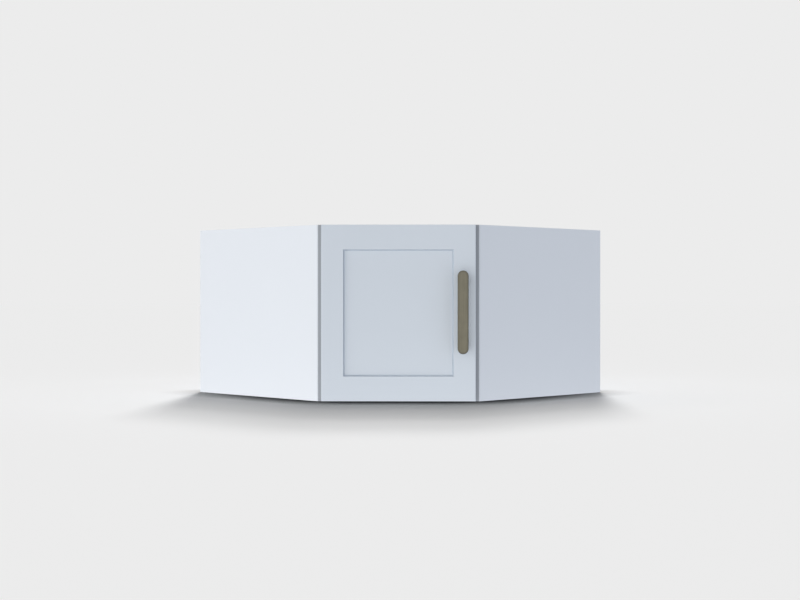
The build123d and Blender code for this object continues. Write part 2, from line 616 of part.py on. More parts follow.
for name, z in hinges:
    here = hinge_plan(z)
    cup_place = (cup_x, z - door_middle)

    # Cup: a drum in the stile with a thin flange and two ears for its screws.
    with BuildPart() as hinge_cup:
        with BuildSketch(door_back):
            with Locations(cup_place):
                Circle(cup_diameter / 2)
        extrude(amount=cup_depth)
        with BuildSketch(door_back):
            with Locations(cup_place):
                Circle(flange_diameter / 2)
                with Locations((-flange_cut, 0)):
                    Rectangle(cup_diameter, cup_diameter * 2, align=(Align.MAX, Align.CENTER),
                              mode=Mode.SUBTRACT)
                with Locations((ear_offset, 0)):
                    SlotCenterToCenter(ear_spacing, ear_diameter, rotation=90)
        extrude(amount=-flange)
        with BuildSketch(door_back.offset(-flange)):
            with Locations(cup_place):
                Circle(cup_diameter / 2 - cup_wall)
        extrude(amount=cup_depth + flange - cup_floor, mode=Mode.SUBTRACT)
        with BuildSketch(door_back.offset(-flange)):
            with Locations(*[p for p in ear_places if abs(p[1] - cup_place[1]) < ear_spacing]):
                Circle(cup_screw_diameter / 2 + fit_play)
        extrude(amount=flange, mode=Mode.SUBTRACT)
        for pivot, diameter in ((outer_at_cup, outer_rivet_diameter),
                                (inner_at_cup, inner_rivet_diameter)):
            with BuildSketch(here):
                with Locations(pivot):
                    Circle(diameter / 2 + fit_play)
            extrude(amount=cup_diameter / 2, both=True, mode=Mode.SUBTRACT)
    finish(hinge_cup.part, f"{name}_hinge_cup")

    # Rivets in the cup: one right across, and two short ones that leave the middle free.
    with BuildPart() as cup_rivets:
        with BuildSketch(here):
            with Locations(inner_at_cup):
                Circle(inner_rivet_diameter / 2)
        extrude(amount=sqrt((cup_diameter / 2 - cup_wall / 2) ** 2 - inner_at_cup[0] ** 2),
                both=True)
        with BuildSketch(here):
            with Locations(outer_at_cup):
                Circle(outer_rivet_diameter / 2)
        extrude(amount=sqrt((cup_diameter / 2 - cup_wall / 2) ** 2 - outer_at_cup[0] ** 2),
                both=True)
        with BuildSketch(here):
            with Locations(outer_at_cup):
                Circle(outer_rivet_diameter)
        extrude(amount=outer_from, both=True, mode=Mode.SUBTRACT)
    finish(cup_rivets.part, f"{name}_cup_rivets")

    # Outer link: two curved cheeks with a hump each, joined by a web along the humps.
    with BuildPart() as outer_link:
        with BuildSketch(here):
            SlotArc(outer_spine, outer_link_width)
            with BuildLine():
                Polyline(*crown, close=True)
            make_face()
        extrude(amount=outer_to, both=True)
        with BuildSketch(here):
            with Locations((0, crown[1][1])):
                Rectangle(4 * cup_diameter, cup_diameter)
            with BuildLine():
                Polyline(crown[1], (crown_web_end, crown[1][1]),
                         (crown_web_end, crown[1][1] - crown_web),
                         (crown[1][0], crown[1][1] - crown_web), close=True)
            make_face(mode=Mode.SUBTRACT)
        extrude(amount=outer_from, both=True, mode=Mode.SUBTRACT)
        with BuildSketch(here):
            with Locations(outer_at_arm, outer_at_cup):
                Circle(outer_rivet_diameter / 2 + pivot_play)
        extrude(amount=outer_to, both=True, mode=Mode.SUBTRACT)
    finish(outer_link.part, f"{name}_outer_link")

    # Inner link: a curved solid bar; its arm end is a slot, where the linkage is open.
    with BuildPart() as inner_link:
        with BuildSketch(here):
            SlotArc(inner_spine, inner_link_width)
            with Locations(inner_at_cup):
                Circle(inner_boss_diameter / 2)
            with Locations(slot_spine @ 0.5):
                SlotCenterToCenter(slot_spine.length, slot_width + 2 * slot_wall,
                                   rotation=slot_spine.tangent_angle_at(0))
                SlotCenterToCenter(slot_spine.length, slot_width,
                                   rotation=slot_spine.tangent_angle_at(0), mode=Mode.SUBTRACT)
            with Locations(inner_at_cup):
                Circle(inner_rivet_diameter / 2 + pivot_play, mode=Mode.SUBTRACT)
        extrude(amount=inner_half, both=True)
    finish(inner_link.part, f"{name}_inner_link")

    # Arm: a channel along the end panel with a cranked head that holds both links.
    with BuildPart() as hinge_arm:
        with BuildSketch(here):
            with BuildLine():
                nose_right = (outer_at_arm[0] + arm_nose, outer_at_arm[1])
                nose_left = (outer_at_arm[0] - arm_nose, outer_at_arm[1])
                FilletPolyline(nose_right, arm_head_top, arm_shoulder, on_panel(arm_run, arm_top),
                               on_panel(arm_length, arm_top), on_panel(arm_length, arm_foot),
                               on_panel(arm_foot_start, arm_foot), *arm_throat, nose_left,
                               radius=arm_bend)
                ThreePointArc(nose_left, (outer_at_arm[0], outer_at_arm[1] - arm_nose),
                              nose_right)
            make_face()
        extrude(amount=arm_to, both=True)
        with BuildSketch(here):
            with BuildLine():
                web = arm_top - sheet
                Polyline((arm_shoulder[0], arm_shoulder[1] - sheet),
                         on_panel(arm_run + sheet / 2, web), on_panel(2 * arm_length, web),
                         on_panel(2 * arm_length, 0), on_panel(0, 0), (0, -cup_diameter),
                         (cup_diameter, -cup_diameter), (cup_diameter, cup_diameter),
                         (arm_shoulder[0], cup_diameter), close=True)
            make_face()
        extrude(amount=arm_from, both=True, mode=Mode.SUBTRACT)
        with BuildSketch(here):
            with Locations(outer_at_arm):
                Circle(outer_rivet_diameter / 2 + fit_play)
            with Locations(inner_at_arm):
                Circle(inner_rivet_diameter / 2 + fit_play)
        extrude(amount=arm_to, both=True, mode=Mode.SUBTRACT)
        with BuildSketch(end_face.offset(-arm_top)):
            with Locations((panel_front - arm_screw_setback, z),
                           (panel_front - side_screw_setback, z)):
                Circle(arm_screw_diameter / 2 + fit_play)
        extrude(amount=sheet, mode=Mode.SUBTRACT)
    finish(hinge_arm.part, f"{name}_hinge_arm")

    # Rivets in the arm: one right across for the slot, two short ones for the outer link.
    with BuildPart() as arm_rivets:
        with BuildSketch(here):
            with Locations(inner_at_arm):
                Circle(inner_rivet_diameter / 2)
        extrude(amount=arm_to, both=True)
        with BuildSketch(here):
            with Locations(outer_at_arm):
                Circle(outer_rivet_diameter / 2)
        extrude(amount=arm_to, both=True)
        with BuildSketch(here):
            with Locations(outer_at_arm):
                Circle(outer_rivet_diameter)
        extrude(amount=outer_from, both=True, mode=Mode.SUBTRACT)
    finish(arm_rivets.part, f"{name}_arm_rivets")

    # Mounting plate: wings with the panel screws and a raised block under the arm's web.
    with BuildPart() as mounting_plate:
        with BuildSketch(end_face):
            with Locations((panel_front - plate_setback, z)):
                RectangleRounded(plate_wing_width, plate_spacing + 2 * plate_wing_overhang,
                                 plate_corner)
            with Locations((panel_front - arm_length, z)):
                Rectangle(arm_length - plate_start, plate_base_width,
                          align=(Align.MIN, Align.CENTER))
        extrude(amount=-plate_thickness)
        with BuildSketch(end_face):
            with Locations((panel_front - arm_length, z)):
                Rectangle(arm_length - plate_start, 2 * (arm_from - plate_side_gap),
                          align=(Align.MIN, Align.CENTER))
        extrude(amount=-arm_top + sheet)
        with BuildSketch(end_face.offset(-arm_top + sheet)):
            with Locations((panel_front - arm_screw_setback, z),
                           (panel_front - side_screw_setback, z)):
                Circle(arm_screw_diameter / 2 + fit_play)
        extrude(amount=arm_screw_bite, mode=Mode.SUBTRACT)
        with Locations(end_face.offset(-plate_thickness).location):
            with Locations(*[p for p in plate_screws_at if abs(p[1] - z) < plate_spacing]):
                Cylinder(plate_screw_diameter / 2 + fit_play, plate_thickness,
                         align=(Align.CENTER, Align.CENTER, Align.MIN), mode=Mode.SUBTRACT)
                Cone(plate_screw_head_diameter / 2, plate_screw_diameter / 2,
                     (plate_screw_head_diameter - plate_screw_diameter) / 2,
                     align=(Align.CENTER, Align.CENTER, Align.MIN), mode=Mode.SUBTRACT)
    finish(mounting_plate.part, f"{name}_mounting_plate")

# Screws of both hinges: through the cups' ears, the plates' wings and the arms' webs.
with BuildPart() as cup_screws:
    with BuildSketch(door_back.offset(-flange)):
        with Locations(*ear_places):
            Circle(cup_screw_diameter / 2)
    extrude(amount=cup_screw_length)
    with BuildSketch(door_back.offset(-flange)):
        with Locations(*ear_places):
            Circle(cup_screw_head_diameter / 2)
    extrude(amount=-cup_screw_head_height)
    fillet(cup_screws.faces().group_by(Axis.Y)[-1].edges(), cup_screw_head_height / 2)
finish(cup_screws.part, "cup_screws")

with BuildPart() as plate_screws:
    with Locations(end_face.offset(-plate_thickness).location):
        with Locations(*plate_screws_at):
            Cylinder(plate_screw_diameter / 2, plate_screw_length,
                     align=(Align.CENTER, Align.CENTER, Align.MIN))
            Cone(plate_screw_head_diameter / 2, plate_screw_diameter / 2,
                 (plate_screw_head_diameter - plate_screw_diameter) / 2,
                 align=(Align.CENTER, Align.CENTER, Align.MIN))
finish(plate_screws.part, "plate_screws")

with BuildPart() as arm_screws:
    arm_screws_at = [(panel_front - setback, z) for name, z in hinges
                     for setback in (arm_screw_setback, side_screw_setback)]
    with BuildSketch(end_face.offset(-arm_top)):
        with Locations(*arm_screws_at):
            Circle(arm_screw_diameter / 2)
    extrude(amount=sheet + arm_screw_bite)
    with BuildSketch(end_face.offset(-arm_top)):
        with Locations(*arm_screws_at):
            Circle(arm_screw_head_diameter / 2)
    extrude(amount=-arm_screw_head_height)
finish(arm_screws.part, "arm_screws")
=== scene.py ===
from math import cos, pi, radians, sin

import bmesh
import bpy
import numpy as np
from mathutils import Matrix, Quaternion, Vector


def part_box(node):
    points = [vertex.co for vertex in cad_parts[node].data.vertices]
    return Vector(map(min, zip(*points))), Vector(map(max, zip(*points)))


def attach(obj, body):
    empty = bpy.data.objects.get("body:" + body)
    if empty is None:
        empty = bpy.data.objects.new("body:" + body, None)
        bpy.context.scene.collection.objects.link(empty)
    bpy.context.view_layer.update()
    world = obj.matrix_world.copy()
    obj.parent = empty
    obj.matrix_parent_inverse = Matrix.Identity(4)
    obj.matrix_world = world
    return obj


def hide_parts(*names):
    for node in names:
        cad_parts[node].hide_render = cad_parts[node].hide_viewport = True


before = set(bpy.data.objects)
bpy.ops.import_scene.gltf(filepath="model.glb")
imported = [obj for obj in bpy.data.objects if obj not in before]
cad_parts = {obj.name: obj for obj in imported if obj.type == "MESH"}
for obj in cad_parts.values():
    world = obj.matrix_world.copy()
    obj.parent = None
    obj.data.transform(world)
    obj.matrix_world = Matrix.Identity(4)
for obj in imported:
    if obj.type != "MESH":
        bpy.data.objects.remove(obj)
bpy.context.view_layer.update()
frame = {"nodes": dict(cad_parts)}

nodes = frame["nodes"]

# ---------------------------------------------------------------- camera
# Stands before the door, a little to the right and at about two thirds of the cabinet's
# height, with the long lens of a product picture.
camera_place = (0.046, -4.261, 0.281)
camera_droop = 0.28              # degrees below level
camera_turn = 0.63               # degrees to the left
picture_width = 800
focal_pixels = 1478
sensor_width = 36
sight = 60                       # metres
bpy.ops.object.camera_add(location=camera_place,
                          rotation=(radians(90 - camera_droop), 0, radians(camera_turn)))
camera = bpy.context.object
camera.data.sensor_width = sensor_width
camera.data.lens = focal_pixels * sensor_width / picture_width
camera.data.clip_end = sight
bpy.context.scene.camera = camera
bpy.context.scene.view_settings.view_transform = "Standard"

# ---------------------------------------------------------------- carcass boards
# Boards of pressed chips coated white on both faces, sawn to size. The coating shows on the
# faces, and the chips in the bores and on the edges that stand against the walls.
board_tone = (226, 231, 238)
board_edge = 0.0005
board_roughness = 0.46
board_skin = 0.0007              # size of the coating's fine grain
board_relief = 0.00002
cloud_size = 0.16                # of the faint clouds in a white finish
cloud_shades = (0.985, 1.012)
cloud_dulling, skin_dulling = 0.10, 0.06     # what each adds to the roughness
chip_size = 0.0016
chip_length = 2.2                # of a chip, in its thicknesses
chip_tones = ((0.15, (122, 94, 64)), (0.5, (178, 146, 106)), (0.85, (212, 187, 148)))
grit_size = 0.0007
sawn_relief = 0.0003
core_roughness = 0.9
to_left_wall, to_right_wall = (-0.70711, 0.70711, 0), (0.70711, 0.70711, 0)
facing = 0.9                     # least share of a normal along the way that a face looks
cut_in = 0.001                   # a face deeper inside the outline than this is cut into the core
rounded_from, creased_from = 30, 50      # degrees from which an edge is rounded, or a crease
merged_within = 2e-6             # corners nearer than this are one
flat_within = 0.5                # degrees between triangles that make one flat


def tone(red, green, blue):
    """A colour as it shows on a screen, turned into light."""
    return tuple(((c / 255 + 0.055) / 1.055) ** 2.4 for c in (red, green, blue)) + (1,)


def alone(piece):
    """Select this piece and nothing else."""
    bpy.ops.object.select_all(action="DESELECT")
    piece.select_set(True)
    bpy.context.view_layer.objects.active = piece
    return piece


def editing(piece):
    """Edit this piece, with all of it selected."""
    alone(piece)
    bpy.ops.object.mode_set(mode="EDIT")
    bpy.ops.mesh.select_all(action="SELECT")


def done():
    """Leave edit mode."""
    bpy.ops.object.mode_set(mode="OBJECT")


def applied(piece, kind, **settings):
    """Add a modifier and apply it."""
    alone(piece)
    modifier = piece.modifiers.new(kind.lower(), kind)
    for name, value in settings.items():
        setattr(modifier, name, value)
    bpy.ops.object.modifier_apply(modifier=modifier.name)


def soften(piece, width=0, segments=2):
    """Round the sharp edges, if a width is given, and shade the flats flat."""
    if width:
        applied(piece, "BEVEL", width=width, segments=segments, limit_method="ANGLE",
                angle_limit=radians(rounded_from))
    alone(piece)
    bpy.ops.object.shade_smooth_by_angle(angle=radians(creased_from))
    applied(piece, "WEIGHTED_NORMAL", keep_sharp=True)


def twin(node, name):
    """A copy of a node of the frame, with its corners merged and its flats joined."""
    piece = bpy.data.objects.new(name, nodes[node].data.copy())
    bpy.context.scene.collection.objects.link(piece)
    piece.data.name = name
    editing(piece)
    bpy.ops.mesh.remove_doubles(threshold=merged_within)
    bpy.ops.mesh.dissolve_limited(angle_limit=radians(flat_within))
    done()
    return piece


class Value:
    """A socket of a finish. Sums, products and the like of values add Math nodes."""

    def __init__(self, nodes, socket):
        self.nodes, self.socket = nodes, socket

    def math(self, operation, *operands):
        """Any other Math node, on the operands given."""
        return self.nodes.node("ShaderNodeMath", {"operation": operation},
                               dict(enumerate(operands)))

    def __add__(self, other):
        return self.math("ADD", self, other)

    def __sub__(self, other):
        return self.math("SUBTRACT", self, other)

    def __rsub__(self, other):
        return self.math("SUBTRACT", other, self)

    def __mul__(self, other):
        return self.math("MULTIPLY", self, other)

    def __pow__(self, other):
        return self.math("POWER", self, other)

    def __abs__(self):
        return self.math("ABSOLUTE", self)

    def __or__(self, other):
        """The larger of the two."""
        return self.math("MAXIMUM", self, other)

    __radd__, __rmul__, __ror__ = __add__, __mul__, __or__


class Nodes:
    """The nodes of a finish or of the sky."""

    def __init__(self, tree):
        self.tree = tree

    def node(self, kind, settings=None, inputs=None, output=0):
        """Add any node; its settings are made before its sockets are filled."""
        made = self.tree.nodes.new(kind)
        for name, value in (settings or {}).items():
            if name == "stops":
                while len(made.color_ramp.elements) < len(value):
                    made.color_ramp.elements.new(0.5)
                for element, (position, colour) in zip(made.color_ramp.elements, value):
                    element.position, element.color = position, colour
            else:
                setattr(made, name, value)
        for name, value in (inputs or {}).items():
            self.fill(made.inputs[name], value)
        return Value(self, made.outputs[output])

    def fill(self, socket, value):
        """Link a value to a socket, or set a number or a colour straight on it."""
        if isinstance(value, Value):
            self.tree.links.new(value.socket, socket)
        else:
            socket.default_value = value


class Finish(Nodes):
    """A material of one shader."""

    def __init__(self, name, **sockets):
        self.material = bpy.data.materials.new(name)
        self.material.use_nodes = True
        super().__init__(self.material.node_tree)
        self.shader = self.tree.nodes["Principled BSDF"]
        self.set(**sockets)

    def set(self, **sockets):
        """Fill the shader's own sockets."""
        for name, value in sockets.items():
            self.fill(self.shader.inputs[name.replace("_", " ")], value)

    def place(self, size, stretch=(1, 1, 1), middle=(0, 0, 0)):
        """Places on the piece from its middle, in steps of this size in metres."""
        return self.node("ShaderNodeMapping", None,
                         {"Vector": self.node("ShaderNodeTexCoord", output="Object"),
                          "Location": [-m / (size * s) for m, s in zip(middle, stretch)],
                          "Scale": [1 / (size * s) for s in stretch]})

    def noise(self, size, stretch=(1, 1, 1), detail=2, roughness=0.5):
        """Cloudy noise from 0 to 1 with spots of about this size in metres."""
        return self.node("ShaderNodeTexNoise", None,
                         {"Vector": self.place(size, stretch), "Scale": 1,
                          "Detail": detail, "Roughness": roughness})

    def blend(self, share, one, other):
        """A colour between two, by a value from 0 to 1."""
        return self.node("ShaderNodeMix", {"data_type": "RGBA"}, {0: share, 6: one, 7: other}, 2)

    def bump(self, height, relief):
        """Relief this deep in metres."""
        self.set(Normal=self.node("ShaderNodeBump", None,
                                  {"Strength": 1, "Distance": relief, "Height": height}))


def white_finish(name, colour, roughness, grain, relief):
    """Sprayed or coated white: faint clouds in tone and gloss, and a fine skin."""
    finish = Finish(name, Specular_IOR_Level=0.5)
    clouds = finish.noise(cloud_size, detail=3)
    skin = finish.noise(grain, roughness=0.6)
    dull, bright = (tuple(c * shade for c in colour[:3]) + (1,) for shade in cloud_shades)
    least = roughness - (cloud_dulling + skin_dulling) / 2
    finish.set(Base_Color=finish.blend(clouds, dull, bright),
               Roughness=clouds * cloud_dulling + skin * skin_dulling + least)
    finish.bump(skin, relief)
    return finish.material


def dress(piece, body, slot, *materials):
    """Give the piece its finish and let it move with its body."""
    piece.data.materials.clear()
    for material in materials:
        piece.data.materials.append(material)
    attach(piece, body)


def show_core(piece, raw):
    """Faces that are cut into the board, or that look the raw way, show its core."""
    faces = piece.data.polygons
    points = np.array([v.co for v in piece.data.vertices])
    normals = np.array([f.normal for f in faces])
    centres = np.array([f.center for f in faces])
    depth = (points @ normals.T).max(axis=0) - (centres * normals).sum(axis=1)
    bare = depth > cut_in
    if raw:
        bare |= normals @ np.array(raw) > facing
    for face, is_bare in zip(faces, bare):
        face.material_index = int(is_bare)


board_coat = white_finish("board_coat", tone(*board_tone), board_roughness, board_skin,
                          board_relief)
chipboard = Finish("chipboard_core", Roughness=core_roughness)
chips = chipboard.node("ShaderNodeTexVoronoi", {"feature": "F1"},
                       {"Vector": chipboard.place(chip_size, (chip_length, chip_length, 1)),
                        "Scale": 1}, "Color")
grit = chipboard.noise(grit_size, detail=3)
chipboard.set(Base_Color=chipboard.node(
    "ShaderNodeValToRGB", {"stops": [(place, tone(*shade)) for place, shade in chip_tones]},
    {0: chipboard.blend(grit, chips, (0.5, 0.5, 0.5, 1))}))
chipboard.bump(grit, sawn_relief)

for node, raw in (("left_end_panel", to_left_wall), ("right_end_panel", to_right_wall),
                  ("bottom_board", None), ("top_board", None), ("left_back_panel", None),
                  ("right_back_panel", None), ("shelf", None)):
    panel = twin(node, node + "_coated")
    soften(panel, board_edge)
    dress(panel, "carcass", "white_board", board_coat, chipboard.material)
    show_core(panel, raw)
    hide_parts(node)

# ---------------------------------------------------------------- edge bands
# Strips of plastic glued to the front edges and trimmed flush: white ones on the boards, and
# ones on the end panels whose fronts are coloured light grey, a painted shade for the shadow in
# the gap beside the door. These are rounded over at the corners of the cabinet and sprayed
# white there with the panels, so that the painted shade shows beside the door only.
white_band_tone = (224, 229, 236)
# painted shade: this grey stands in for the shadow in the gap beside the door
painted_shade_band_tone = (165, 169, 175)
band_edge = 0.00035
band_roughness = 0.36
band_skin = 0.0016
band_relief = 0.00002
corner_round = 0.0012            # from the corner to where the rounding ends on each face
sprayed = 0.0024                 # width of the white along the corner, on the front
touching = 1e-4                  # points nearer to a plane than this lie on it
white_plastic = white_finish("white_band", tone(*white_band_tone), band_roughness, band_skin,
                             band_relief)
painted_shade_plastic = white_finish("grey_band", tone(*painted_shade_band_tone), band_roughness, band_skin,
                            band_relief)


def pick(piece, kind, test):
    """Select the edges or faces of a piece in edit mode that pass the test."""
    bpy.ops.mesh.select_mode(type={"edges": "EDGE", "faces": "FACE"}[kind])
    bpy.ops.mesh.select_all(action="DESELECT")
    mesh = bmesh.from_edit_mesh(piece.data)
    for part in getattr(mesh, kind):
        if test(part):
            part.select_set(True)
    mesh.select_flush_mode()
    bmesh.update_edit_mesh(piece.data)


for node in ("bottom_edge_band", "top_edge_band", "shelf_edge_band"):
    strip = twin(node, node + "_strip")
    soften(strip, band_edge)
    dress(strip, "carcass", "white_band", white_plastic)
    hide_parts(node)

for node, side in (("left_end_edge_band", -1), ("right_end_edge_band", 1)):
    strip = twin(node, node + "_strip")
    front = min(v.co.y for v in strip.data.vertices)
    corner = max(side * v.co.x for v in strip.data.vertices if v.co.y < front + touching)
    editing(strip)
    bpy.ops.mesh.bisect(plane_co=(side * (corner - sprayed), 0, 0), plane_no=(1, 0, 0))
    pick(strip, "edges", lambda e: all(abs(side * v.co.x - corner) < touching
                                       and v.co.y < front + touching for v in e.verts))
    bpy.ops.mesh.bevel(offset=corner_round, segments=4, profile=0.5)
    done()
    soften(strip, band_edge)
    # The strips' fronts beside the door take the grey painted shade; near the corner they stay
    # white.
    dress(strip, "carcass", "grey_band", painted_shade_plastic, white_plastic)
    for face in strip.data.polygons:
        face.material_index = int(side * face.center.x > corner - sprayed)
    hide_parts(node)

# ---------------------------------------------------------------- cam locks, bolts and dowels
# Each corner of the carcass is drawn together by steel bolts that zinc cams pull in, beside
# beech dowels. The cams lie in pockets of the top and bottom boards.
cam_rim = 0.00025
zinc_dark, zinc_bright = (146, 149, 152), (186, 188, 189)
zinc_grain, zinc_patch, zinc_relief = 0.0005, 0.004, 0.00006
steel_dark, steel_bright = (176, 178, 180), (214, 215, 216)
steel_wear, steel_relief = 0.0015, 0.000015
beech_dark, beech_bright = (170, 128, 84), (222, 190, 146)
beech_pores, beech_rings, beech_relief = 0.0006, 0.0035, 0.0001
zinc_roughness, steel_roughness, beech_roughness = 0.36, 0.2, 0.7     # at their smoothest
zinc = Finish("cast_zinc", Metallic=0.85)
casting = zinc.noise(zinc_grain, detail=3, roughness=0.7)
dull = zinc.noise(zinc_patch, detail=3)
zinc.set(Base_Color=zinc.blend(dull, tone(*zinc_dark), tone(*zinc_bright)),
         Roughness=dull * 0.2 + casting * 0.15 + zinc_roughness)
zinc.bump(casting, zinc_relief)
cams = twin("cam_locks", "cam_locks_cast")
soften(cams, cam_rim)
dress(cams, "carcass", "cast_zinc", zinc.material)
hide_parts("cam_locks")

steel = Finish("bright_steel", Metallic=1.0)
wear = steel.noise(steel_wear, detail=3)
steel.set(Base_Color=steel.blend(wear, tone(*steel_dark), tone(*steel_bright)),
          Roughness=wear * 0.2 + steel_roughness)
steel.bump(wear, steel_relief)

beech = Finish("beech", Roughness=beech_roughness)
pores = beech.noise(beech_pores, detail=4, roughness=0.65)
rings = beech.noise(beech_rings)
beech.set(Base_Color=beech.blend(pores * 0.5 + rings * 0.5, tone(*beech_dark),
                                 tone(*beech_bright)))
beech.bump(pores, beech_relief)


def carried(finish, *names):
    """Finish nodes whose own shape stays."""
    for name in names:
        nodes[name].data.materials.clear()
        nodes[name].data.materials.append(finish.material)


carried(beech, "dowels")
carried(steel, "cam_bolts")

# ---------------------------------------------------------------- screws
# Steel screws with pressed crosses: countersunk ones through the back panels and the hinge
# plates, and round ones in the hinge cups, the hinge arms and the handle.
thread_root = 0.74               # radius between the threads, in radii of the shank
crest_from, crest_to = 0.4, 0.5  # where a thread is widest, in pitches
tip_radius, point_radius = 0.1, 0.45     # of the point at its end and farther up
point_length = 1.6               # like both of them, in radii of the shank
cross_arm = 0.24                 # width of a cross's arm, in spans of the cross
cross_depth = 0.5                # in spans of the cross
cross_floor = 0.4                # size of the cross at its floor, in its size at the top
cross_past = 0.001               # of its cutting shape above the head
screw_sides = 24
screw_turn = 37                  # degrees from one screw's cross to the next one's
into_cabinet = (0, 1, 0)


def settled(name):
    """Name the active object and put its place into its mesh."""
    piece = alone(bpy.context.object)
    bpy.ops.object.transform_apply()
    piece.name = piece.data.name = name
    return piece


def block(name, low, high):
    """A box between two corners."""
    bpy.ops.object.select_all(action="DESELECT")
    low, high = Vector(low), Vector(high)
    bpy.ops.mesh.primitive_cube_add(size=1, location=(low + high) / 2, scale=high - low)
    return settled(name)


def carve(piece, cutter):
    """Cut this shape out of the piece."""
    applied(piece, "BOOLEAN", operation="DIFFERENCE", object=cutter, solver="EXACT", use_self=True)
    bpy.data.objects.remove(cutter)


def turned(name, rings, sides):
    """A piece turned about the upright through the origin, from rings of radius and height."""
    bpy.ops.object.select_all(action="DESELECT")
    (radius, height), *others = rings
    bpy.ops.mesh.primitive_circle_add(vertices=sides, radius=radius, fill_type="NGON",
                                      location=(0, 0, height))
    piece = settled(name)
    editing(piece)
    for wide, high in others:
        bpy.ops.mesh.extrude_region_move(TRANSFORM_OT_translate={"value": (0, 0, high - height)})
        bpy.ops.transform.resize(value=(wide / radius, wide / radius, 1),
                                 center_override=(0, 0, high))
        radius, height = wide, high
    bpy.ops.mesh.select_all(action="SELECT")
    bpy.ops.mesh.normals_make_consistent(inside=False)
    done()
    return piece


def seats(node, *axes):
    """The outer end and the axis of each separate screw or post of a node."""
    editing(twin(node, "seats"))
    bpy.ops.mesh.separate(type="LOOSE")
    done()
    found = []
    for part in list(bpy.context.selected_objects):
        points = np.array([v.co for v in part.data.vertices])
        axis = max(axes, key=lambda a: np.ptp(points @ np.array(a)))
        side = np.cross(axis, (0, 0, 1))
        across, heights = points @ side, points[:, 2]
        end = (np.array(axis) * (points @ np.array(axis)).max()
               + side * (across.min() + across.max()) / 2
               + np.array((0, 0, (heights.min() + heights.max()) / 2)))
        found.append((Vector(end), Vector(axis)))
        bpy.data.objects.remove(part)
    return sorted(found, key=lambda seat: tuple(round(c, 4) for c in seat[0]))


def placed(model, name, seats):
    """Copies of a model at all seats, each turned a little further, as one piece."""
    copies = []
    for count, (end, axis) in enumerate(seats):
        alone(model)
        bpy.ops.object.duplicate()
        copy = bpy.context.object
        copy.rotation_euler = (axis.to_track_quat("Z", "Y")
                               @ Quaternion((0, 0, 1), radians(screw_turn * count))).to_euler()
        copy.location = end
        copies.append(copy)
    bpy.data.objects.remove(model)
    alone(copies[0])
    for copy in copies:
        copy.select_set(True)
    bpy.ops.object.join()
    return settled(name)


def screw(head, shank, length, pitch, cross):
    """A screw below its head's top: rings of the head, and a threaded shank with a point."""
    root = shank * thread_root
    neck = head[0][1]
    rings = [(shank * tip_radius, -length), (shank * point_radius, -length + shank)]
    height = -length + point_length * shank
    while height < neck - pitch:
        rings += [(root, height), (shank, height + pitch * crest_from),
                  (shank, height + pitch * crest_to)]
        height += pitch
    made = turned("screw", rings + [(root, height), (root, neck)] + head, screw_sides)
    depth = cross * cross_depth
    for across, along in ((cross * cross_arm, cross), (cross, cross * cross_arm)):
        slot = block("slot", (-across / 2, -along / 2, -depth),
                     (across / 2, along / 2, cross_past))
        editing(slot)
        pick(slot, "faces", lambda f: f.normal.z < -facing)
        bpy.ops.transform.resize(value=(cross_floor, cross_floor, 1),
                                 center_override=(0, 0, -depth))
        done()
        carve(made, slot)
    soften(made)
    return made


# Node, body, ways in, rings of the head, shank's radius, length, pitch and span of the cross.
for node, body, axes, head, shank, length, pitch, cross in (
        ("back_screws", "carcass", (to_left_wall, to_right_wall),
         [(0.0020, -0.0020), (0.0038, -0.0002), (0.0039, 0.0)], 0.0020, 0.040, 0.0018, 0.0044),
        ("plate_screws", "carcass", (to_right_wall,),
         [(0.0025, -0.0018), (0.0042, -0.0001), (0.0042, 0.0)], 0.0025, 0.013, 0.0016, 0.0046),
        ("arm_screws", "carcass", (to_right_wall,),
         [(0.0025, -0.0020), (0.0041, -0.0020), (0.0042, -0.0018), (0.0042, -0.0005),
          (0.0039, -0.0001), (0.0036, 0.0)], 0.0025, 0.0115, 0.0010, 0.0048),
        ("cup_screws", "door", (into_cabinet,),
         [(0.00175, -0.0016), (0.0034, -0.0016), (0.0035, -0.0013), (0.0033, -0.0007),
          (0.0028, -0.0003), (0.0020, 0.0)], 0.00175, 0.0146, 0.0013, 0.0040),
        ("handle_screws", "door", (into_cabinet,),
         [(0.0020, -0.0024), (0.0038, -0.0024), (0.0040, -0.0021), (0.0039, -0.0012),
          (0.0033, -0.0004), (0.0022, 0.0)], 0.0020, 0.0324, 0.0007, 0.0044)):
    screws = placed(screw(head, shank, length, pitch, cross), node + "_driven", seats(node, *axes))
    dress(screws, body, "bright_steel", steel.material)
    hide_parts(node)

# ---------------------------------------------------------------- shelf pins
# Steel pins pushed into rows of bores, each with a collar and a flat that carries the shelf.
# They are turned, with their sharp edges taken off.
pin_edge = 0.0002
pins = twin("shelf_pins", "shelf_pins_turned")
soften(pins, pin_edge)
dress(pins, "carcass", "bright_steel", steel.material)
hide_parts("shelf_pins")

